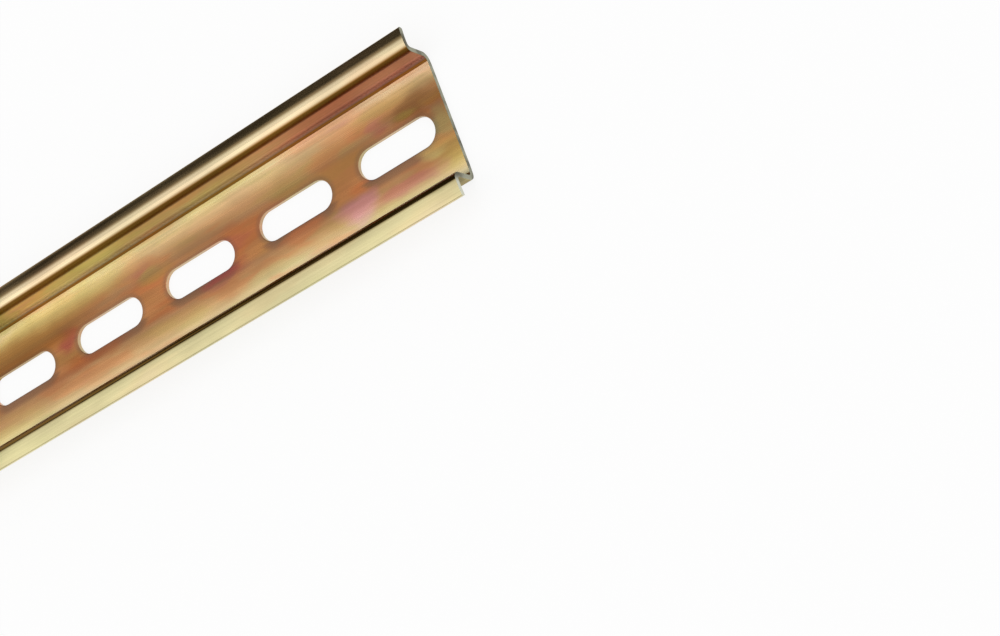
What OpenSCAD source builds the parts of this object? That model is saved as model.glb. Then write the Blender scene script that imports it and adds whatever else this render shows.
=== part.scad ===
// Slotted top-hat mounting rail: steel strip rolled into a shallow channel with a flange along
// each side, and one row of round-ended slots punched through the web between its walls.
// The rail lies on the back of its web. +X runs along it, +Y across it, +Z out of its open
// side, and the origin is at the middle of the back of the web.

/* [Section] */

// Width over both flanges
rail_w = 35; // [20:0.5:75]
// Depth from the back of the web to the fronts of the flanges
rail_h = 7.5; // [5:0.5:15]
// Width of the channel over the outsides of its two walls
channel_w = 27; // [12:0.5:65]
// Thickness of the strip
sheet_t = 1; // [0.8:0.1:2.3]
// Inside radius of the four bends
bend_r = 0.8; // [0.4:0.1:2]
// Rounding of the flanges' long edges
edge_r = 0.3; // [0.1:0.05:0.4]

/* [Length] */

// Length of the rail
rail_l = 1000; // [100:25:2000]

/* [Slots] */

// Length of a slot from end to end
slot_l = 18; // [8:0.5:25]
// Width of a slot
slot_w = 6.2; // [4:0.1:8]
// Distance from one slot's centre to the next
slot_pitch = 25; // [20:1:50]

/* [Hidden] */

$fn = 64;

// Outside radius of a bend
bend_out_r = bend_r + sheet_t;
// Half the width of the flat web, out to where its bends start
web_half_w = channel_w / 2 - bend_out_r;
// Height of the centre of the bend between web and wall
low_bend_z = bend_out_r;
// Height of the centre of the bend between wall and flange
high_bend_z = rail_h - bend_out_r;
// Distance from the rail's middle to the bend between wall and flange
high_bend_y = channel_w / 2 + bend_r;
// Distance from the rail's middle to where a flange's edge rounding starts
flange_flat_y = rail_w / 2 - edge_r;

// The row starts and ends half a pitch inside the rail's ends
slot_count = floor(rail_l / slot_pitch);
first_slot_x = -slot_pitch * (slot_count - 1) / 2;
// How far each slot's cutter reaches past the web
cut_past = 1;

zinc_yellow = [0.86, 0.72, 0.45];

// A quarter of a bend, centred on the origin. The signs pick its quadrant.
module quarter_bend(side_y, side_z) {
    intersection() {
        difference() {
            circle(r = bend_out_r);
            circle(r = bend_r);
        }
        translate([side_y * bend_out_r / 2, side_z * bend_out_r / 2])
            square(bend_out_r, center = true);
    }
}

// The flange's free edge, rounded at both corners
module flange_edge() {
    for (z = [rail_h - sheet_t + edge_r, rail_h - edge_r])
        translate([flange_flat_y, z])
            circle(r = edge_r);
    translate([flange_flat_y, rail_h - sheet_t + edge_r])
        square([edge_r, sheet_t - 2 * edge_r]);
}

// Half of the section, from the middle of the web to the free edge of one flange
module half_section() {
    square([web_half_w, sheet_t]);
    translate([web_half_w, low_bend_z])
        quarter_bend(1, -1);
    translate([channel_w / 2 - sheet_t, low_bend_z])
        square([sheet_t, high_bend_z - low_bend_z]);
    translate([high_bend_y, high_bend_z])
        quarter_bend(-1, 1);
    translate([high_bend_y, rail_h - sheet_t])
        square([flange_flat_y - high_bend_y, sheet_t]);
    flange_edge();
}

// The whole section, drawn across the rail
module section() {
    half_section();
    mirror([1, 0])
        half_section();
}

// The outline of one slot, centred on the origin
module slot_outline() {
    slot_flat_l = slot_l - slot_w;
    square([slot_flat_l, slot_w], center = true);
    for (side = [-1, 1])
        translate([side * slot_flat_l / 2, 0])
            circle(d = slot_w);
}

// The row of slots, as cutters that pass through the web
module slot_row() {
    for (i = [0 : slot_count - 1])
        translate([first_slot_x + i * slot_pitch, 0, -cut_past])
            linear_extrude(sheet_t + 2 * cut_past)
                slot_outline();
}

module rail() {
    color(zinc_yellow)
        difference() {
            rotate([90, 0, 90])
                linear_extrude(rail_l, center = true)
                    section();
            slot_row();
        }
}

rail();
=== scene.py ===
import math

import bmesh
import bpy
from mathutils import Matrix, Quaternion, Vector


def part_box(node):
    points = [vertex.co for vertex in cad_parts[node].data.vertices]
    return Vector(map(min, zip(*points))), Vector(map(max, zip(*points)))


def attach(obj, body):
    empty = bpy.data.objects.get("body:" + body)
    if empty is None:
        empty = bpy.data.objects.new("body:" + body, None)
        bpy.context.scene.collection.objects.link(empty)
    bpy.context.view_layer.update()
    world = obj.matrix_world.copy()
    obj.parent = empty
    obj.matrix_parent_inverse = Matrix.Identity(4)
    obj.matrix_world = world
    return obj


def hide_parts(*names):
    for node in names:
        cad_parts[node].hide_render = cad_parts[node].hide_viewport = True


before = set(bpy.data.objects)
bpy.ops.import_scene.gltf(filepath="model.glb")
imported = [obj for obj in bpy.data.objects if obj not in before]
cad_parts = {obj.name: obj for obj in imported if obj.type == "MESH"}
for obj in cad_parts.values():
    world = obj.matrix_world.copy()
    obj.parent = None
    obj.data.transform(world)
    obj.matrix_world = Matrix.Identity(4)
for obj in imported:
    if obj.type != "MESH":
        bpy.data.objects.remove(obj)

mm = 0.001
tiny = 0.005 * mm            # two places closer than this are the same
inDegrees = 180 / math.pi
white = (1, 1, 1, 1)


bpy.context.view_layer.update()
railLow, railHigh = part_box("rail")
scene = bpy.context.scene
scene.view_settings.view_transform = "Standard"


class Wire:
    # one value in a shader: arithmetic on it adds Math nodes
    def __init__(self, graph, socket):
        self.graph = graph
        self.socket = socket

    def output(self, name):
        # another output of the same node
        return Wire(self.graph, self.socket.node.outputs[name])

    def __add__(self, other):
        return self.graph.math("ADD", self, other)

    def __radd__(self, other):
        return self.graph.math("ADD", other, self)

    def __sub__(self, other):
        return self.graph.math("SUBTRACT", self, other)

    def __rsub__(self, other):
        return self.graph.math("SUBTRACT", other, self)

    def __mul__(self, other):
        return self.graph.math("MULTIPLY", self, other)

    def __rmul__(self, other):
        return self.graph.math("MULTIPLY", other, self)

    def __truediv__(self, other):
        return self.graph.math("DIVIDE", self, other)

    def __abs__(self):
        return self.graph.math("ABSOLUTE", self)


class Graph:
    # the nodes of one material or world
    def __init__(self, owner):
        owner.use_nodes = True
        self.tree = owner.node_tree
        self.tree.nodes.clear()

    def node(self, kind, settings=None, values=None, output=0):
        made = self.tree.nodes.new(kind)
        for name, setting in (settings or {}).items():
            if name == "stops":
                self.setStops(made.color_ramp, setting)
            else:
                setattr(made, name, setting)
        for key, value in (values or {}).items():
            if isinstance(value, Wire):
                self.tree.links.new(value.socket, made.inputs[key])
            else:
                made.inputs[key].default_value = value
        return Wire(self, made.outputs[output]) if len(made.outputs) else None

    def setStops(self, ramp, stops):
        while len(ramp.elements) < len(stops):
            ramp.elements.new(0.5)
        for element, (place, colour) in zip(ramp.elements, stops):
            element.position = place
            element.color = (*colour, 1)

    def math(self, operation, *values):
        return self.node("ShaderNodeMath", {"operation": operation}, dict(enumerate(values)))

    def step(self, value, start, end, low=0.0, high=1.0):
        # goes smoothly from low to high as value goes from start to end
        sockets = {"Value": value, "From Min": start, "From Max": end, "To Min": low, "To Max": high}
        return self.node("ShaderNodeMapRange", {"interpolation_type": "SMOOTHSTEP"}, sockets)

    def band(self, value, centre, half, soft):
        # 1 within half of the centre, and 0 a soft edge further out
        return self.step(abs(value - centre), half, half + soft, 1.0, 0.0)

    def mix(self, share, first, second, blend="MIX"):
        # the Mix node's colours are its sockets 6 and 7, and its colour comes out of socket 2
        settings = {"data_type": "RGBA", "blend_type": blend}
        return self.node("ShaderNodeMix", settings, {0: share, 6: first, 7: second}, 2)

    def apart(self, vector):
        parts = self.node("ShaderNodeSeparateXYZ", {}, {"Vector": vector})
        return [parts.output(axis) for axis in "XYZ"]


studio = {
    "lens": 70.9,
    "sensor": 36,
    "clip": (0.01, 200),
    "eye": Vector((144.3, -141.4, 299.6)) * mm,      # from the middle of the rail's shown end
    "aim": Vector((-5.3, -38.5, 0)) * mm,
    "roll": -80.2,
    "floorHalf": 30.0,
    "floorWhite": 0.97,
    "floorLit": 0.85,                  # how much of the floor's white is its own to the camera
    "glow": (18, 29, 1.1, 0.82),       # the world's light goes from one level to another between two leans
    "cardLight": 0.06,
    # dark cards for the metal to mirror, in degrees: lean is from upright towards +Y, and bearing is 0
    # towards -X and 90 towards +Y, each with its middle, half width and soft edge; between two heights
    # a card goes from one strength to another
    "cards": [
        {"lean": (134, 100, 4), "bearing": (45, 26, 14), "height": (29, 37, 0, 1)},      # far flange
        {"lean": (-62, 26, 10), "bearing": (-57, 24, 14), "height": (30, 42, 0.6, 0)},   # near bends
        {"lean": (72, 20, 8), "bearing": (66, 10, 6), "height": (34, 42, 1, 0)},         # far bends
    ],
}


def makeCamera(make):
    data = bpy.data.cameras.new("camera")
    data.lens = make["lens"]
    data.sensor_width = make["sensor"]
    data.clip_start, data.clip_end = make["clip"]
    camera = bpy.data.objects.new("camera", data)
    scene.collection.objects.link(camera)
    camera.location = Vector((railHigh.x, 0, railLow.z)) + make["eye"]
    turn = (make["aim"] - make["eye"]).to_track_quat("-Z", "Y")
    camera.rotation_mode = "QUATERNION"
    camera.rotation_quaternion = turn @ Quaternion((0, 0, 1), math.radians(make["roll"]))
    scene.camera = camera


def floorWhite(make):
    material = bpy.data.materials.new("floorWhite")
    graph = Graph(material)
    level = make["floorWhite"]
    paint = graph.node("ShaderNodeBsdfDiffuse", {}, {"Color": (level, level, level, 1)})
    lit = graph.node("ShaderNodeEmission", {}, {"Color": white, "Strength": 1.0})
    direct = graph.node("ShaderNodeLightPath", {}, {}, "Is Camera Ray")
    seen = direct + direct.output("Is Glossy Ray") + direct.output("Is Transmission Ray")
    both = graph.node("ShaderNodeMixShader", {}, {0: seen * make["floorLit"], 1: paint, 2: lit})
    graph.node("ShaderNodeOutputMaterial", {}, {"Surface": both})
    return material


def makeFloor(make):
    bpy.ops.object.select_all(action="DESELECT")
    bpy.ops.mesh.primitive_plane_add(size=2 * make["floorHalf"], location=(0, 0, railLow.z))
    floor = bpy.context.object
    floor.name = "floor"
    bpy.ops.object.transform_apply(location=True, rotation=True, scale=True)
    floor.data.materials.append(floorWhite(make))


def darkCards(graph, make, lean, bearing, height):
    # 1 where the world shows a card
    shade = None
    for place in make["cards"]:
        card = graph.band(lean, *place["lean"]) * graph.band(bearing, *place["bearing"])
        card = card * graph.step(height, *place["height"])
        shade = graph.math("MAXIMUM", card, shade) if shade else card
    return shade


def makeWorld(make):
    world = bpy.data.worlds.new("studio")
    scene.world = world
    graph = Graph(world)
    x, y, z = graph.apart(graph.node("ShaderNodeTexCoord", {}, {}, "Generated"))
    lean = graph.math("ARCTAN2", y, z) * inDegrees
    bearing = graph.math("ARCTAN2", y, 0 - x) * inDegrees
    height = graph.math("ARCSINE", z) * inDegrees
    shade = darkCards(graph, make, lean, bearing, height)
    level = graph.step(lean, *make["glow"]) * (1 - shade) + make["cardLight"] * shade
    seen = graph.node("ShaderNodeLightPath", {}, {}, "Is Camera Ray")
    sky = graph.node("ShaderNodeBackground", {}, {"Color": white, "Strength": level * (1 - seen) + seen})
    graph.node("ShaderNodeOutputWorld", {}, {"Surface": sky})


railMake = {
    "sheet": 1.0 * mm,
    "channelWidth": 27.0 * mm,
    "bendRadius": 0.8 * mm,                # inside
    "bendTurns": 10,                       # flats in a quarter bend
    "bendLead": (1, 2, 3.5, 6),            # degrees: the web starts to rise a little before each low bend
    "leadStep": 0.55 * mm,
    "flangeDroop": (3, 6, 6.5),            # degrees: the flange's outer part leans back
    "droopStep": 0.72 * mm,
    "slotLength": 18.0 * mm,
    "slotWidth": 6.2 * mm,
    "slotPitch": 25.0 * mm,
    "slotTurns": 10,                       # flats in a quarter of a slot's end
    "edgeRound": 0.3 * mm,                 # on the flanges' long edges
    "edgeZone": 0.25 * mm,                 # those edges lie this near to the rail's sides
    "rimRound": 0.16 * mm,                 # where the punch went in
    "backRound": 0.04 * mm,
    "endRound": 0.08 * mm,
    "smoothUnder": 32,                     # degrees: a sharper edge stays crisp
}
square = 0.9                 # a face is square to an axis when its normal has more than this along it
edgeOn = 0.1                 # and it runs along the axis when it has less than this


def deselectAll():
    if bpy.context.object and bpy.context.object.mode != "OBJECT":
        bpy.ops.object.mode_set(mode="OBJECT")
    bpy.ops.object.select_all(action="DESELECT")


def pickEdges(piece, test):
    # selects the edges that pass the test, in edit mode
    bpy.ops.mesh.select_mode(type="EDGE")
    bpy.ops.mesh.select_all(action="DESELECT")
    mesh = bmesh.from_edit_mesh(piece.data)
    mesh.normal_update()
    for edge in mesh.edges:
        edge.select = test(edge)
    bmesh.update_edit_mesh(piece.data)


def stepAt(length, degrees):
    heading = math.radians(degrees)
    return (length * math.cos(heading), length * math.sin(heading))


def bendSteps(make, start, end):
    # a bend of the middle of the sheet, as short straight steps
    count = round(make["bendTurns"] * abs(end - start) / 90)
    turn = (end - start) / count
    radius = make["bendRadius"] + make["sheet"] / 2
    chord = 2 * radius * math.sin(math.radians(abs(turn)) / 2)
    return [stepAt(chord, start + (i + 0.5) * turn) for i in range(count)]


def halfSection(make):
    # steps of the middle of the sheet from the web out to a flange's edge, and where the web ends
    half = make["sheet"] / 2
    lead = [stepAt(make["leadStep"], degrees) for degrees in make["bendLead"]]
    lowBend = lead + bendSteps(make, make["bendLead"][-1], 90)
    highBend = bendSteps(make, 90, 0)
    droop = [stepAt(make["droopStep"], -degrees) for degrees in make["flangeDroop"]]
    tipLean = (half - make["edgeRound"]) * math.sin(math.radians(make["flangeDroop"][-1]))
    wallAt = make["channelWidth"] / 2 - half
    wallHigh = railHigh.z - railLow.z - make["sheet"] - sum(up for _, up in lowBend + highBend)
    webHalf = wallAt - sum(out for out, _ in lowBend)
    flangeFlat = railHigh.y - tipLean - wallAt - sum(out for out, _ in highBend + droop)
    return webHalf, lowBend + [(0, wallHigh)] + highBend + [(flangeFlat, 0)] + droop


def slotInWeb(make, webHalf):
    # a slot's outline, drawn out flat to the web's own outline over one pitch
    slotHalf = make["slotWidth"] / 2
    straight = (make["slotLength"] - make["slotWidth"]) / 2
    bpy.ops.mesh.primitive_plane_add(size=1)
    piece = bpy.context.object
    piece.name = "rail_sheet"
    bpy.ops.object.mode_set(mode="EDIT")
    bpy.ops.transform.resize(value=(make["slotLength"], make["slotWidth"], 1))
    bpy.ops.mesh.bevel(offset=slotHalf, segments=make["slotTurns"], affect="VERTICES")
    bpy.ops.mesh.select_all(action="SELECT")
    bpy.ops.mesh.remove_doubles(threshold=tiny)
    bpy.ops.mesh.delete(type="ONLY_FACE")
    bpy.ops.mesh.select_all(action="SELECT")
    bpy.ops.mesh.extrude_edges_move(TRANSFORM_OT_translate={"value": (0, 0, 0)})
    bpy.ops.transform.resize(value=(1, webHalf / slotHalf, 1))
    mesh = bmesh.from_edit_mesh(piece.data)
    for vertex in mesh.verts:
        if vertex.select and abs(vertex.co.x) > straight - tiny:
            vertex.co.x = math.copysign(make["slotPitch"] / 2, vertex.co.x)
    bmesh.update_edit_mesh(piece.data)
    return piece


def makePitch(make):
    # one pitch of the sheet's middle: the web with its slot, then both sides
    webHalf, steps = halfSection(make)
    piece = slotInWeb(make, webHalf)
    for side in (1, -1):
        start = side * webHalf
        pickEdges(piece, lambda edge: all(abs(v.co.y - start) < tiny for v in edge.verts))
        for out, up in steps:
            bpy.ops.mesh.extrude_edges_move(TRANSFORM_OT_translate={"value": (0, side * out, up)})
    bpy.ops.mesh.select_all(action="SELECT")
    bpy.ops.mesh.normals_make_consistent(inside=False)
    middle = (railLow.x + make["slotPitch"] / 2, 0, railLow.z + make["sheet"] / 2)
    bpy.ops.transform.translate(value=middle)
    bpy.ops.object.mode_set(mode="OBJECT")
    return piece


def repeatAlong(piece, make):
    row = piece.modifiers.new("row", "ARRAY")
    row.count = round((railHigh.x - railLow.x) / make["slotPitch"])
    row.use_relative_offset = False
    row.use_constant_offset = True
    row.constant_offset_displace = (make["slotPitch"], 0, 0)
    row.use_merge_vertices = True
    row.merge_threshold = tiny
    bpy.ops.object.modifier_apply(modifier=row.name)


def thicken(piece, make):
    wall = piece.modifiers.new("wall", "SOLIDIFY")
    wall.thickness = make["sheet"]
    wall.offset = 0
    wall.use_even_offset = True
    bpy.ops.object.modifier_apply(modifier=wall.name)


def normalsBy(edge):
    return [face.normal for face in edge.link_faces]


def isFlangeEdge(edge, make):
    # a long edge at the free side of a flange
    far = all(abs(v.co.y) > railHigh.y - make["edgeZone"] for v in edge.verts)
    along = abs(edge.verts[0].co.x - edge.verts[1].co.x) > mm
    return far and along


def isRailEnd(edge):
    # an edge round one of the two cut ends
    atEnd = all(abs(v.co.x) > railHigh.x - tiny for v in edge.verts)
    return atEnd and sum(abs(normal.x) > square for normal in normalsBy(edge)) == 1


def isSlotRim(edge, make, height):
    # an edge between the web's face at this height and a slot's wall
    inSlot = all(abs(v.co.y) < make["slotWidth"] / 2 + tiny for v in edge.verts)
    level = all(abs(v.co.z - height) < tiny for v in edge.verts)
    away = all(abs(v.co.x) < railHigh.x - tiny for v in edge.verts)
    return inSlot and level and away and sum(abs(normal.z) < edgeOn for normal in normalsBy(edge)) == 1


def roundEdges(piece, make):
    bpy.ops.object.mode_set(mode="EDIT")
    pickEdges(piece, lambda edge: isFlangeEdge(edge, make))
    bpy.ops.mesh.bevel(offset=make["edgeRound"], segments=3, affect="EDGES")
    front = railLow.z + make["sheet"]
    pickEdges(piece, lambda edge: isSlotRim(edge, make, front))
    bpy.ops.mesh.bevel(offset=make["rimRound"], segments=3, affect="EDGES")
    pickEdges(piece, lambda edge: isSlotRim(edge, make, railLow.z))
    bpy.ops.mesh.bevel(offset=make["backRound"], segments=1, affect="EDGES")
    pickEdges(piece, isRailEnd)
    bpy.ops.mesh.bevel(offset=make["endRound"], segments=2, affect="EDGES")
    bpy.ops.mesh.select_all(action="SELECT")
    bpy.ops.mesh.normals_make_consistent(inside=False)
    bpy.ops.object.mode_set(mode="OBJECT")


def makeRail(make):
    deselectAll()
    piece = makePitch(make)
    repeatAlong(piece, make)
    thicken(piece, make)
    roundEdges(piece, make)
    bpy.ops.object.shade_smooth_by_angle(angle=math.radians(make["smoothUnder"]))
    flats = piece.modifiers.new("flats", "WEIGHTED_NORMAL")
    flats.keep_sharp = True
    bpy.ops.object.modifier_apply(modifier=flats.name)
    return piece


# places are in millimetres and angles in degrees: a pair is where a thing starts and where it is full,
# and three are its middle, half width and soft edge
finish = {
    # the film's colour at each distance from the rail's middle line; the paler colours by the bends are a
    # painted highlight
    "web": [
        (3.3, (0.38, 0.185, 0.09)),
        (4.5, (0.43, 0.23, 0.11)),
        (6.0, (0.54, 0.29, 0.125)),
        (7.5, (0.64, 0.38, 0.17)),
        (9.0, (0.77, 0.53, 0.26)),
        (10.1, (0.86, 0.64, 0.35)),
        (10.8, (1.0, 0.82, 0.49)),
    ],
    "betweenSlots": (0.53, 0.225, 0.085),
    "betweenFrom": (0, 1.4),               # away from a slot
    "betweenTo": (5.5, 3),                 # away from the middle line
    "slotWall": (0.62, 0.45, 0.27),
    "slotWallFrom": (0.03, 0.01),          # away from the slot's outline
    "slotWallHeight": (0.95, 0.85),
    "wall": (0.75, 0.65, 0.34),
    # painted highlight: the wall's foot is painted paler, where it mirrors the painted shade of the low
    # bend
    "footHighlight": (1.0, 0.86, 0.52),
    "footHighlightHeight": (2.2, 0.5, 0.8),
    # painted highlight: the flanges are painted paler than the web, and the far flange paler than the near
    # one
    "flange": (0.93, 0.75, 0.47),
    "nearFlange": (0.70, 0.62, 0.34),
    "flangeHeight": (6.3, 7.2),
    "nearToFar": (-10, 10),                # where the one flange's colour gives way to the other's
    # painted shade in the bends, for the dark the metal mirrors there: how much of its colour a bend keeps,
    # and the angles that are painted dark
    "lowBend": (0.24, 0.13, 0.035),
    "lowBendFrom": (-8, 2),
    "lowBendTo": (88, 30),
    "highBend": (0.31, 0.18, 0.045),
    "nearHighBend": (38, 24),              # middle and half width
    "farHighBend": (54, 14),
    "highBendSoft": 24,
    "highBendFade": (-1, 1),               # where the near bend's angles give way to the far one's
    # painted dark reflection on the far flange's outer strip
    "paintedDarkReflection": (0.42, 0.36, 0.28),         # what the far flange's outer strip keeps
    "paintedDarkReflectionFrom": (14.7, 15.4),
    "cutDark": (0.13, 0.12, 0.08),
    "cutSteel": (0.36, 0.36, 0.27),
    "cutPale": (0.66, 0.66, 0.54),
    "cutPaleFrom": (-13, -15),
    "cutDepth": (0.10, 0.07),              # back from an end
    "cutGrain": (3, 3, 3),
    "cutSpeckle": (0.35, 0.65),
    "tints": {
        "gold": (1.02, 1.16, 0.82),
        "olive": (0.90, 1.10, 0.84),
        "moss": (0.66, 0.80, 0.45),
        "orange": (1.10, 0.80, 0.74),
        "ember": (0.86, 0.54, 0.45),
        "rose": (0.96, 0.66, 0.95),
        "magenta": (0.80, 0.46, 0.80),
        "lilac": (1.16, 0.94, 1.85),
        "smoke": (0.66, 0.72, 0.86),
        "sage": (0.78, 1.26, 1.30),
        "umber": (0.56, 0.47, 0.40),
        "amber": (0.72, 0.64, 0.42),
        # painted shade along the near side of each slot
        "slotShadeTint": (0.66, 0.72, 0.88),
        # painted highlight
        "paintedHighlight": (1.18, 1.10, 1.15),
        "straw": (1.22, 1.68, 1.38),
        "rust": (0.85, 0.78, 0.62),
        "cream": (1.0, 1.17, 1.15),
        # painted shade
        "paintedShade": (0.36, 0.33, 0.22),
    },
    # clouds all over: tint, where the cloud noise starts it and makes it full, strength
    "clouds": [
        ("olive", 0.5, 0.36, 0.5),
        ("orange", 0.5, 0.6, 0.6),
        ("rose", 0.6, 0.7, 0.6),
    ],
    # painted shade along each slot's near side
    "slotNearShade": (2.2, 1.0),               # away from a slot, on its near side
    "slotNearShadeSide": (-2.4, -3.2),
    "slotNearShadeHeight": (1.6, 1.3),
    # patches: tint, distance from the shown end, place across, half length and half width, strength
    "patches": [
        ("lilac", 24.5, -6.6, 6, 3.4, 1.0),
        ("rose", 13, -8.0, 9, 2.0, 0.9),
        ("magenta", 57, -3.8, 7, 1.6, 1.0),
        ("orange", 37, -5.0, 7, 2.0, 0.8),
        ("magenta", 100, 2.2, 4, 4, 0.9),
        ("ember", 95, -4.0, 12, 2.0, 0.7),
        # painted highlight by the far bend
        ("paintedHighlight", 54, 8.5, 22, 2.5, 0.8),
        ("olive", 73, 4.6, 6, 2.2, 0.8),
        ("olive", 38, 4.6, 6, 1.8, 0.8),
        ("orange", 28, 6.2, 6, 2.6, 0.6),
        ("orange", 18, 7.4, 9, 2.8, 0.9),
        ("rose", 14, 6.0, 3, 2, 0.8),
        ("umber", 5, 5.6, 9, 4.0, 1.0),
        ("moss", 7.5, 4.6, 4, 1.4, 0.8),
        ("smoke", 1, 2.5, 3.5, 4, 1.0),
        ("ember", 9, 13.2, 8, 1.8, 0.8),
        ("moss", 114, 12.8, 8, 1.6, 0.6),
        # painted shade on the near wall by the shown end
        ("paintedShade", 2, -13.4, 5, 1.4, 1.0),
        ("straw", 3, -4.6, 7, 1.8, 1.0),
        ("rust", 13, 8.2, 9, 2.0, 1.0),
        # painted highlight by the far bend at the shown end
        ("paintedHighlight", 1, 10.2, 4, 1.3, 1.0),
        ("amber", 1, 4.8, 3.5, 2.0, 0.9),
        ("cream", 44, -8.6, 14, 1.8, 1.0),
        ("sage", 1, -0.5, 4, 4, 1.0),
        ("gold", 2, -6.4, 5, 4.0, 1.0),
        ("gold", 100, 8.5, 26, 3.5, 0.8),
        ("amber", 116, 5.5, 34, 4.6, 1.0),
    ],
    "patchEdge": (1.1, 0.3),               # in half lengths and half widths
    "wallRose": (0.76, 0.44, 0.66),
    "wallRoseFrom": (80, 10),              # back from the shown end
    "wallRoseDepth": (0.3, 0.4),           # half width and soft edge about the wall's inner face
    "flangeCalm": 0.75,                    # how much of the tints the flanges lose
    # noises: the size of their patches along, across and upwards, and what they do
    "waverAlong": (9, 4, 4),
    "waverAlongBy": 9,
    "waverAcross": (8, 3, 3),
    "waverAcrossBy": 4,
    "cloudSize": (24, 6, 6),
    "shadeSize": (16, 5, 8),
    "shadeLight": (0.3, 0.7, 0.86, 1.08),
    "streakSize": (60, 0.4, 0.4),
    "streakLight": (0.3, 0.7, 0.94, 1.05),
    "streakRelief": 0.1,
    "streakDepth": 0.02 * mm,
    "roughness": {"web": 0.26, "flange": -0.1, "wall": 0.2, "streaks": 0.12, "shades": 0.1, "cut": 0.5},
}


def whole(colour):
    return (*colour, 1)


def across(graph, side, stops):
    # a colour that changes with the distance from the rail's middle line
    outer = stops[-1][0]
    scaled = [(at / outer, colour) for at, colour in stops]
    return graph.node("ShaderNodeValToRGB", {"stops": scaled}, {0: side / outer})


def grain(graph, place, size, detail=2.0):
    # noise with patches of this many millimetres
    metres = tuple(length * mm for length in size)
    shrunk = graph.node("ShaderNodeVectorMath", {"operation": "DIVIDE"}, {0: place, 1: metres})
    return graph.node("ShaderNodeTexNoise", {}, {"Vector": shrunk, "Scale": 1.0, "Detail": detail})


def slotDistance(graph, section, x, y):
    # how far a point of the web is from its nearest slot
    pitch = section["slotPitch"] / mm
    slotHalf = section["slotWidth"] / mm / 2
    straight = section["slotLength"] / mm / 2 - slotHalf
    along = graph.math("WRAP", x, pitch, 0.0) - pitch / 2
    past = graph.math("MAXIMUM", abs(along) - straight, 0.0)
    return graph.math("SQRT", past * past + y * y) - slotHalf


def bendMasks(graph, make, section, y, side, z):
    # how far a point lies in the low and in the high bends, by its angle round their middles, which places
    # the bends' painted shade
    radius = section["bendRadius"] / mm
    sheet = section["sheet"] / mm
    channel = section["channelWidth"] / mm / 2
    height = (railHigh.z - railLow.z) / mm
    lowAngle = graph.math("ARCTAN2", side - (channel - sheet - radius), sheet + radius - z) * inDegrees
    highAngle = graph.math("ARCTAN2", channel + radius - side, z - (height - sheet - radius)) * inDegrees
    low = graph.step(lowAngle, *make["lowBendFrom"]) * graph.step(lowAngle, *make["lowBendTo"])
    nearFar = zip(make["nearHighBend"], make["farHighBend"])
    middle, half = [graph.step(y, *make["highBendFade"], near, far) for near, far in nearFar]
    high = graph.band(highAngle, middle, half, make["highBendSoft"])
    return low, high


def readPlace(graph, make, section):
    # where a point is, and how far it lies on each part of the rail
    place = graph.node("ShaderNodeTexCoord", {}, {}, "Object")
    x, y, z = [value * (1 / mm) for value in graph.apart(place)]
    side = abs(y)
    inner = (section["channelWidth"] / 2 - section["sheet"]) / mm
    end = railHigh.x / mm
    lowBend, highBend = bendMasks(graph, make, section, y, side, z)
    fromSlot = slotDistance(graph, section, x, y)
    # painted shade by each slot's near side
    near = graph.step(fromSlot, *make["slotNearShade"]) * graph.step(y, *make["slotNearShadeSide"])
    return {
        "place": place,
        "x": x,
        "y": y,
        "z": z,
        "side": side,
        "inner": inner,
        "end": end,
        "fromSlot": fromSlot,
        "lowBend": lowBend,
        "highBend": highBend,
        "wall": graph.step(side, inner - section["bendRadius"] / mm, inner),
        "flange": graph.step(z, *make["flangeHeight"]),
        "slotWall": graph.step(fromSlot, *make["slotWallFrom"]) * graph.step(z, *make["slotWallHeight"]),
        "slotNearShade": near * graph.step(z, *make["slotNearShadeHeight"]),
        "cut": graph.step(abs(x), *[end - depth for depth in make["cutDepth"]]),
    }


def filmAndHighlightColour(graph, make, at):
    # the film without its clouds: deep gold by the slots and pale gold by the bends, the pale gold a
    # painted highlight; a painted highlight on the wall's foot; flanges painted paler, the far one most
    colour = across(graph, at["side"], make["web"])
    between = graph.step(at["fromSlot"], *make["betweenFrom"]) * graph.step(at["side"], *make["betweenTo"])
    colour = graph.mix(between, colour, whole(make["betweenSlots"]))
    colour = graph.mix(at["slotWall"], colour, whole(make["slotWall"]))
    # painted highlight on the wall's foot
    foot = graph.band(at["z"], *make["footHighlightHeight"])
    colour = graph.mix(at["wall"], colour, graph.mix(foot, whole(make["wall"]), whole(make["footHighlight"])))
    # painted highlight: the flanges painted paler, the far one more than the near
    farther = graph.step(at["y"], *make["nearToFar"])
    flange = graph.mix(farther, whole(make["nearFlange"]), whole(make["flange"]))
    return graph.mix(at["flange"], colour, flange)


def filmTintAndPaintedLight(graph, make, at):
    # the film's clouds and patches, with painted shade along each slot's near side, and some patches of
    # painted highlight and painted shade
    tints = {name: whole(tint) for name, tint in make["tints"].items()}
    cloud = grain(graph, at["place"], make["cloudSize"], 3.0)
    tint = white
    for name, start, full, strength in make["clouds"]:
        tint = graph.mix(graph.step(cloud, start, full, 0, strength), tint, tints[name])
    # painted shade along each slot's near side
    tint = graph.mix(at["slotNearShade"], tint, tints["slotShadeTint"])
    wavyX = at["x"] + (grain(graph, at["place"], make["waverAlong"]) - 0.5) * make["waverAlongBy"]
    wavyY = at["y"] + (grain(graph, at["place"], make["waverAcross"]) - 0.5) * make["waverAcrossBy"]
    for name, fromEnd, aside, halfLong, halfWide, strength in make["patches"]:
        offX = (wavyX - (at["end"] - fromEnd)) / halfLong
        offY = (wavyY - aside) / halfWide
        away = graph.math("SQRT", offX * offX + offY * offY)
        tint = graph.mix(graph.step(away, *make["patchEdge"], 0, strength), tint, tints[name])
    rosy = graph.step(at["x"], *[at["end"] - back for back in make["wallRoseFrom"]])
    rosy = rosy * at["wall"] * (1 - at["flange"]) * graph.band(at["y"], at["inner"], *make["wallRoseDepth"])
    tint = graph.mix(rosy, tint, whole(make["wallRose"]))
    return graph.mix(at["flange"] * make["flangeCalm"], tint, white)


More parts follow.
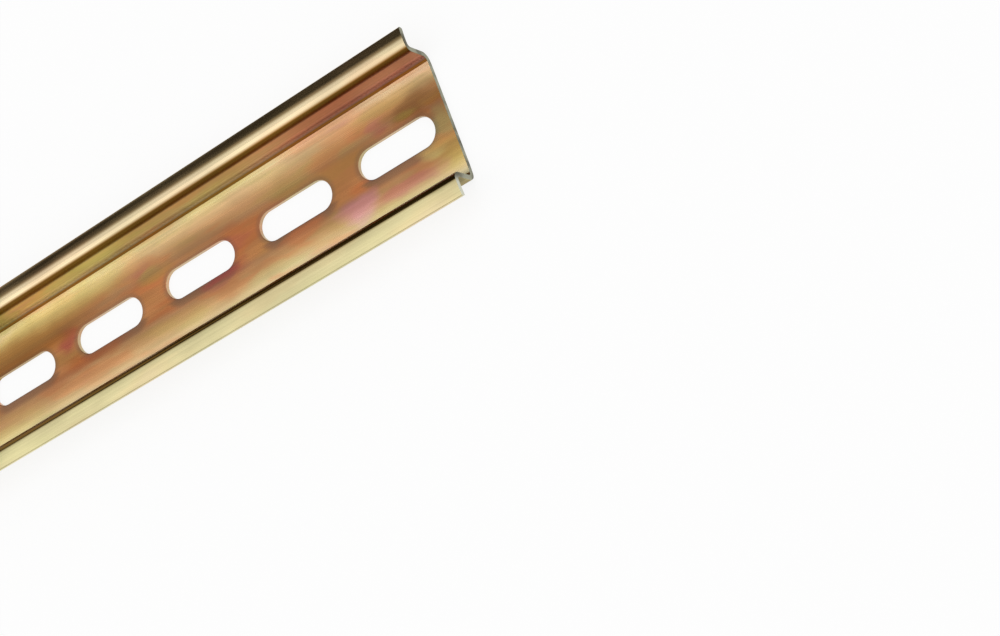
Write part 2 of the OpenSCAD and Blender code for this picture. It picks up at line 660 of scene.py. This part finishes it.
def paintShadeInFolds(graph, make, at, colour):
    # painted shade in the bends, and a painted dark reflection on the far flange's outer strip
    colour = graph.mix(at["highBend"], colour, whole(make["highBend"]), "MULTIPLY")
    colour = graph.mix(at["lowBend"], colour, whole(make["lowBend"]), "MULTIPLY")
    # painted dark reflection on the far flange's outer strip
    paintedDarkStrip = graph.step(at["y"], *make["paintedDarkReflectionFrom"])
    return graph.mix(paintedDarkStrip, colour, whole(make["paintedDarkReflection"]), "MULTIPLY")


def cutSteel(graph, make, at):
    speckle = graph.step(grain(graph, at["place"], make["cutGrain"]), *make["cutSpeckle"])
    steel = graph.mix(speckle, whole(make["cutDark"]), whole(make["cutSteel"]))
    return graph.mix(graph.step(at["y"], *make["cutPaleFrom"]), steel, whole(make["cutPale"]))


def filmRoughness(make, at, streak, shade):
    parts = make["roughness"]
    rough = parts["web"] + at["flange"] * parts["flange"] + at["wall"] * (1 - at["flange"]) * parts["wall"]
    rough = rough + (streak - 0.5) * parts["streaks"] + (shade - 0.5) * parts["shades"]
    return rough * (1 - at["cut"]) + at["cut"] * parts["cut"]


def yellowChromate(make, section):
    material = bpy.data.materials.new("yellowChromate")
    graph = Graph(material)
    at = readPlace(graph, make, section)
    shade = grain(graph, at["place"], make["shadeSize"], 3.0)
    streak = grain(graph, at["place"], make["streakSize"])
    colour = graph.mix(1.0, filmAndHighlightColour(graph, make, at), filmTintAndPaintedLight(graph, make, at), "MULTIPLY")
    colour = paintShadeInFolds(graph, make, at, colour)
    light = graph.step(shade, *make["shadeLight"]) * graph.step(streak, *make["streakLight"])
    grey = graph.node("ShaderNodeCombineXYZ", {}, {0: light, 1: light, 2: light})
    colour = graph.mix(1.0, colour, grey, "MULTIPLY")
    colour = graph.mix(at["cut"], colour, cutSteel(graph, make, at))
    relief = {"Strength": make["streakRelief"], "Distance": make["streakDepth"], "Height": streak}
    shader = graph.node("ShaderNodeBsdfPrincipled", {}, {
        "Base Color": colour,
        "Metallic": 1.0,
        "Roughness": filmRoughness(make, at, streak, shade),
        "Normal": graph.node("ShaderNodeBump", {}, relief),
    })
    graph.node("ShaderNodeOutputMaterial", {}, {"Surface": shader})
    return material


print("studio: camera, floor and world")
makeCamera(studio)
makeFloor(studio)
makeWorld(studio)
print("rail: modelling")
rail = makeRail(railMake)
print("rail: finish")
rail.data.materials.clear()
rail.data.materials.append(yellowChromate(finish, railMake))
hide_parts("rail")
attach(rail, "root")
